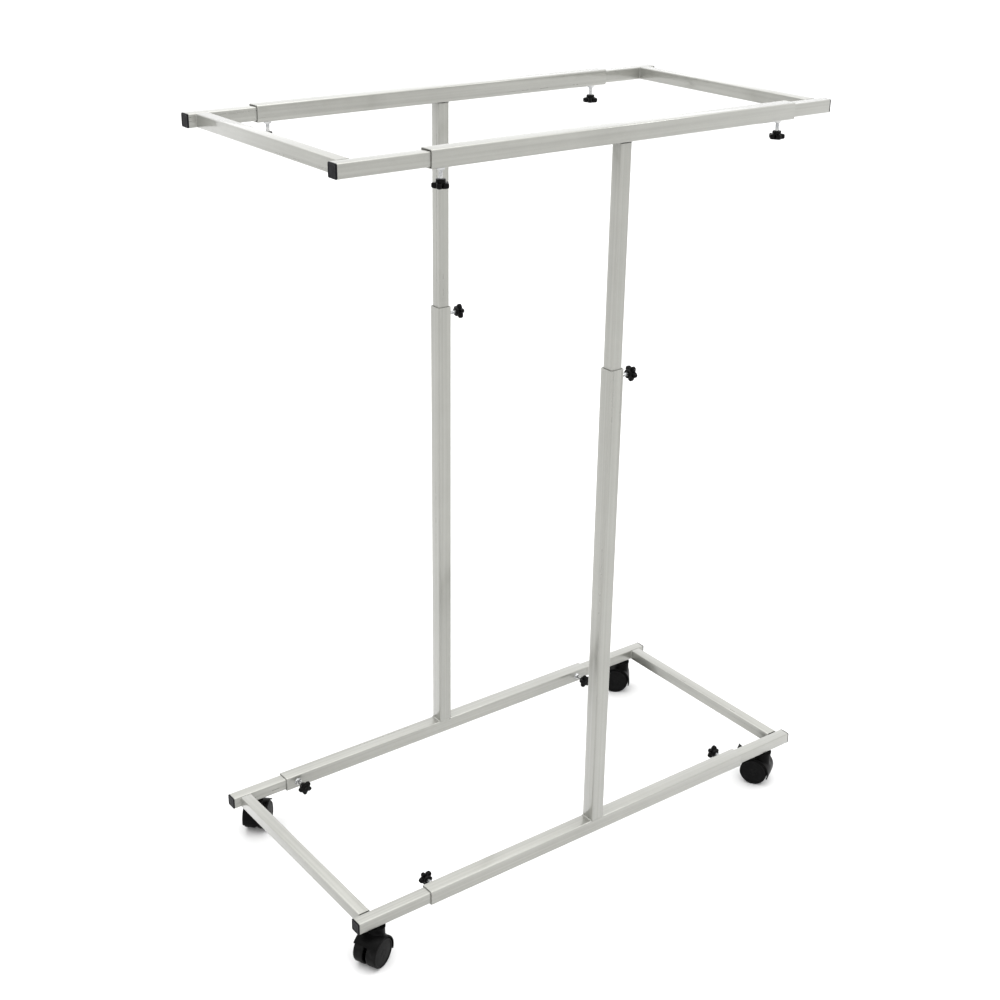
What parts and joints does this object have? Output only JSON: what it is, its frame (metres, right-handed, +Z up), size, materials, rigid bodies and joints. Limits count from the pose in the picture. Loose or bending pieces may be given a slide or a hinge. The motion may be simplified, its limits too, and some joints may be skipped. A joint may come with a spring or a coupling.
{
  "type": "rolling clothes rack",
  "caption": "Rolling rack of telescoping square tube: a lengthening top frame on two height-adjustable posts over a lengthening base on twin-wheel casters, clamped by star knobs.",
  "frame": {"origin": "on the floor, under the middle of the box that the rack fills as it stands", "axes": "+X along the rails to the right, +Y from the front side frame to the rear one, +Z up"},
  "size_m": [0.9296, 0.475, 1.2354],
  "materials": {
    "painted_steel": "satin silver-grey powder coat",
    "zinc_steel": "bright zinc plate",
    "black_plastic": "moulded, slightly glossy",
    "wheel_plastic": "moulded nylon, satin"
  },
  "bodies": {
    "side_frames": {"base_sleeve_front": "painted_steel", "base_sleeve_rear": "painted_steel", "post_sleeve_front": "painted_steel", "post_sleeve_rear": "painted_steel"},
    "top_rails": {"post_tube_front": "painted_steel", "post_tube_rear": "painted_steel", "top_sleeve_front": "painted_steel", "top_sleeve_rear": "painted_steel"},
    "base_left_end": {"base_end_frame_left": "painted_steel", "base_plug_front_left": "black_plastic", "base_plug_rear_left": "black_plastic", "caster_stem_front_left": "zinc_steel", "caster_stem_rear_left": "zinc_steel"},
    "base_right_end": {"base_end_frame_right": "painted_steel", "base_plug_front_right": "black_plastic", "base_plug_rear_right": "black_plastic", "caster_stem_front_right": "zinc_steel", "caster_stem_rear_right": "zinc_steel"},
    "top_left_end": {"top_end_frame_left": "painted_steel", "top_plug_front_left": "black_plastic", "top_plug_rear_left": "black_plastic"},
    "top_right_end": {"top_end_frame_right": "painted_steel", "top_plug_front_right": "black_plastic", "top_plug_rear_right": "black_plastic"},
    "caster_front_left": {"caster_housing_front_left": "black_plastic", "caster_axle_front_left": "zinc_steel"},
    "wheel_a_front_left": {"caster_wheel_a_front_left": "wheel_plastic"},
    "wheel_b_front_left": {"caster_wheel_b_front_left": "wheel_plastic"},
    "caster_front_right": {"caster_housing_front_right": "black_plastic", "caster_axle_front_right": "zinc_steel"},
    "wheel_a_front_right": {"caster_wheel_a_front_right": "wheel_plastic"},
    "wheel_b_front_right": {"caster_wheel_b_front_right": "wheel_plastic"},
    "caster_rear_left": {"caster_housing_rear_left": "black_plastic", "caster_axle_rear_left": "zinc_steel"},
    "wheel_a_rear_left": {"caster_wheel_a_rear_left": "wheel_plastic"},
    "wheel_b_rear_left": {"caster_wheel_b_rear_left": "wheel_plastic"},
    "caster_rear_right": {"caster_housing_rear_right": "black_plastic", "caster_axle_rear_right": "zinc_steel"},
    "wheel_a_rear_right": {"caster_wheel_a_rear_right": "wheel_plastic"},
    "wheel_b_rear_right": {"caster_wheel_b_rear_right": "wheel_plastic"},
    "clamp_screw_base_front_left": {"clamp_screw_base_front_left": "zinc_steel"},
    "star_knob_base_front_left": {"star_knob_base_front_left": "black_plastic"},
    "clamp_screw_base_front_right": {"clamp_screw_base_front_right": "zinc_steel"},
    "star_knob_base_front_right": {"star_knob_base_front_right": "black_plastic"},
    "clamp_screw_top_front_left": {"clamp_screw_top_front_left": "zinc_steel"},
    "star_knob_top_front_left": {"star_knob_top_front_left": "black_plastic"},
    "clamp_screw_top_front_right": {"clamp_screw_top_front_right": "zinc_steel"},
    "star_knob_top_front_right": {"star_knob_top_front_right": "black_plastic"},
    "clamp_screw_post_front": {"clamp_screw_post_front": "zinc_steel"},
    "star_knob_post_front": {"star_knob_post_front": "black_plastic"},
    "clamp_screw_base_rear_left": {"clamp_screw_base_rear_left": "zinc_steel"},
    "star_knob_base_rear_left": {"star_knob_base_rear_left": "black_plastic"},
    "clamp_screw_base_rear_right": {"clamp_screw_base_rear_right": "zinc_steel"},
    "star_knob_base_rear_right": {"star_knob_base_rear_right": "black_plastic"},
    "clamp_screw_top_rear_left": {"clamp_screw_top_rear_left": "zinc_steel"},
    "star_knob_top_rear_left": {"star_knob_top_rear_left": "black_plastic"},
    "clamp_screw_top_rear_right": {"clamp_screw_top_rear_right": "zinc_steel"},
    "star_knob_top_rear_right": {"star_knob_top_rear_right": "black_plastic"},
    "clamp_screw_post_rear": {"clamp_screw_post_rear": "zinc_steel"},
    "star_knob_post_rear": {"star_knob_post_rear": "black_plastic"}
  },
  "joints": [
    {"name": "top_height", "type": "slide", "parent": "side_frames", "child": "top_rails", "axis": [0, 0, 1], "range_m": [-0.33, 0.32]},
    {"name": "base_left_slide", "type": "slide", "parent": "side_frames", "child": "base_left_end", "axis": [-1, 0, 0], "range_m": [-0.038, 0.12]},
    {"name": "base_right_slide", "type": "slide", "parent": "side_frames", "child": "base_right_end", "axis": [1, 0, 0], "range_m": [-0.061, 0.12]},
    {"name": "top_left_slide", "type": "slide", "parent": "top_rails", "child": "top_left_end", "axis": [-1, 0, 0], "range_m": [-0.074, 0.12]},
    {"name": "top_right_slide", "type": "slide", "parent": "top_rails", "child": "top_right_end", "axis": [1, 0, 0], "range_m": [-0.045, 0.12]},
    {"name": "swivel_front_left", "type": "hinge", "parent": "base_left_end", "child": "caster_front_left", "pos_m": [-0.42323, -0.20432, 0.06442], "axis": [0, 0, 1], "continuous": true},
    {"name": "roll_a_front_left", "type": "hinge", "parent": "caster_front_left", "child": "wheel_a_front_left", "pos_m": [-0.4342, -0.2092, 0.025], "axis": [-0.4067, 0.9135, 0], "continuous": true},
    {"name": "roll_b_front_left", "type": "hinge", "parent": "caster_front_left", "child": "wheel_b_front_left", "pos_m": [-0.4342, -0.2092, 0.025], "axis": [-0.4067, 0.9135, 0], "continuous": true},
    {"name": "swivel_front_right", "type": "hinge", "parent": "base_right_end", "child": "caster_front_right", "pos_m": [0.41176, -0.20432, 0.06442], "axis": [0, 0, 1], "continuous": true},
    {"name": "roll_a_front_right", "type": "hinge", "parent": "caster_front_right", "child": "wheel_a_front_right", "pos_m": [0.40569, -0.19397, 0.025], "axis": [0.8625, 0.506, 0], "continuous": true},
    {"name": "roll_b_front_right", "type": "hinge", "parent": "caster_front_right", "child": "wheel_b_front_right", "pos_m": [0.40569, -0.19397, 0.025], "axis": [0.8625, 0.506, 0], "continuous": true},
    {"name": "swivel_rear_left", "type": "hinge", "parent": "base_left_end", "child": "caster_rear_left", "pos_m": [-0.41524, 0.19768, 0.06442], "axis": [0, 0, 1], "continuous": true},
    {"name": "roll_a_rear_left", "type": "hinge", "parent": "caster_rear_left", "child": "wheel_a_rear_left", "pos_m": [-0.4069, 0.20631, 0.025], "axis": [0.7193, -0.6947, 0], "continuous": true},
    {"name": "roll_b_rear_left", "type": "hinge", "parent": "caster_rear_left", "child": "wheel_b_rear_left", "pos_m": [-0.4069, 0.20631, 0.025], "axis": [0.7193, -0.6947, 0], "continuous": true},
    {"name": "swivel_rear_right", "type": "hinge", "parent": "base_right_end", "child": "caster_rear_right", "pos_m": [0.41676, 0.19768, 0.06442], "axis": [0, 0, 1], "continuous": true},
    {"name": "roll_a_rear_right", "type": "hinge", "parent": "caster_rear_right", "child": "wheel_a_rear_right", "pos_m": [0.40771, 0.20555, 0.025], "axis": [0.6561, 0.7547, 0], "continuous": true},
    {"name": "roll_b_rear_right", "type": "hinge", "parent": "caster_rear_right", "child": "wheel_b_rear_right", "pos_m": [0.40771, 0.20555, 0.025], "axis": [0.6561, 0.7547, 0], "continuous": true},
    {"name": "screw_travel_base_front_left", "type": "slide", "parent": "side_frames", "child": "clamp_screw_base_front_left", "axis": [0, 1, 0], "range_m": [0, 0.0028]},
    {"name": "knob_turn_base_front_left", "type": "hinge", "parent": "clamp_screw_base_front_left", "child": "star_knob_base_front_left", "pos_m": [-0.30723, -0.18042, 0.07592], "axis": [0, 1, 0], "range_deg": [0, 1010]},
    {"name": "screw_travel_base_front_right", "type": "slide", "parent": "side_frames", "child": "clamp_screw_base_front_right", "axis": [0, 1, 0], "range_m": [0, 0.0028]},
    {"name": "knob_turn_base_front_right", "type": "hinge", "parent": "clamp_screw_base_front_right", "child": "star_knob_base_front_right", "pos_m": [0.31877, -0.18042, 0.07592], "axis": [0, 1, 0], "range_deg": [0, 1010]},
    {"name": "screw_travel_top_front_left", "type": "slide", "parent": "top_rails", "child": "clamp_screw_top_front_left", "axis": [0, 0, -1], "range_m": [0, 0.0028]},
    {"name": "knob_turn_top_front_left", "type": "hinge", "parent": "clamp_screw_top_front_left", "child": "star_knob_top_front_left", "pos_m": [-0.29973, -0.20432, 1.19902], "axis": [0, 0, -1], "range_deg": [0, 1010]},
    {"name": "screw_travel_top_front_right", "type": "slide", "parent": "top_rails", "child": "clamp_screw_top_front_right", "axis": [0, 0, -1], "range_m": [0, 0.0028]},
    {"name": "knob_turn_top_front_right", "type": "hinge", "parent": "clamp_screw_top_front_right", "child": "star_knob_top_front_right", "pos_m": [0.31127, -0.20432, 1.19902], "axis": [0, 0, -1], "range_deg": [0, 1010]},
    {"name": "screw_travel_post_front", "type": "slide", "parent": "side_frames", "child": "clamp_screw_post_front", "axis": [1, 0, 0], "range_m": [0, 0.0028]},
    {"name": "knob_turn_post_front", "type": "hinge", "parent": "clamp_screw_post_front", "child": "star_knob_post_front", "pos_m": [0.02967, -0.20432, 0.86372], "axis": [1, 0, 0], "range_deg": [0, 1010]},
    {"name": "screw_travel_base_rear_left", "type": "slide", "parent": "side_frames", "child": "clamp_screw_base_rear_left", "axis": [0, -1, 0], "range_m": [0, 0.0028]},
    {"name": "knob_turn_base_rear_left", "type": "hinge", "parent": "clamp_screw_base_rear_left", "child": "star_knob_base_rear_left", "pos_m": [-0.33724, 0.17378, 0.07592], "axis": [0, -1, 0], "range_deg": [0, 1010]},
    {"name": "screw_travel_base_rear_right", "type": "slide", "parent": "side_frames", "child": "clamp_screw_base_rear_right", "axis": [0, -1, 0], "range_m": [0, 0.0028]},
    {"name": "knob_turn_base_rear_right", "type": "hinge", "parent": "clamp_screw_base_rear_right", "child": "star_knob_base_rear_right", "pos_m": [0.28876, 0.17378, 0.07592], "axis": [0, -1, 0], "range_deg": [0, 1010]},
    {"name": "screw_travel_top_rear_left", "type": "slide", "parent": "top_rails", "child": "clamp_screw_top_rear_left", "axis": [0, 0, -1], "range_m": [0, 0.0028]},
    {"name": "knob_turn_top_rear_left", "type": "hinge", "parent": "clamp_screw_top_rear_left", "child": "star_knob_top_rear_left", "pos_m": [-0.32974, 0.19768, 1.19902], "axis": [0, 0, -1], "range_deg": [0, 1010]},
    {"name": "screw_travel_top_rear_right", "type": "slide", "parent": "top_rails", "child": "clamp_screw_top_rear_right", "axis": [0, 0, -1], "range_m": [0, 0.0028]},
    {"name": "knob_turn_top_rear_right", "type": "hinge", "parent": "clamp_screw_top_rear_right", "child": "star_knob_top_rear_right", "pos_m": [0.28126, 0.19768, 1.19902], "axis": [0, 0, -1], "range_deg": [0, 1010]},
    {"name": "screw_travel_post_rear", "type": "slide", "parent": "side_frames", "child": "clamp_screw_post_rear", "axis": [1, 0, 0], "range_m": [0, 0.0028]},
    {"name": "knob_turn_post_rear", "type": "hinge", "parent": "clamp_screw_post_rear", "child": "star_knob_post_rear", "pos_m": [-0.00034, 0.19768, 0.86372], "axis": [1, 0, 0], "range_deg": [0, 1010]}
  ],
  "couplings": [
    {"joint": "knob_turn_base_front_left", "follows": "screw_travel_base_front_left", "rad_per_m": 6283.2},
    {"joint": "knob_turn_base_front_right", "follows": "screw_travel_base_front_right", "rad_per_m": 6283.2},
    {"joint": "knob_turn_top_front_left", "follows": "screw_travel_top_front_left", "rad_per_m": 6283.2},
    {"joint": "knob_turn_top_front_right", "follows": "screw_travel_top_front_right", "rad_per_m": 6283.2},
    {"joint": "knob_turn_post_front", "follows": "screw_travel_post_front", "rad_per_m": 6283.2},
    {"joint": "knob_turn_base_rear_left", "follows": "screw_travel_base_rear_left", "rad_per_m": 6283.2},
    {"joint": "knob_turn_base_rear_right", "follows": "screw_travel_base_rear_right", "rad_per_m": 6283.2},
    {"joint": "knob_turn_top_rear_left", "follows": "screw_travel_top_rear_left", "rad_per_m": 6283.2},
    {"joint": "knob_turn_top_rear_right", "follows": "screw_travel_top_rear_right", "rad_per_m": 6283.2},
    {"joint": "knob_turn_post_rear", "follows": "screw_travel_post_rear", "rad_per_m": 6283.2}
  ]
}
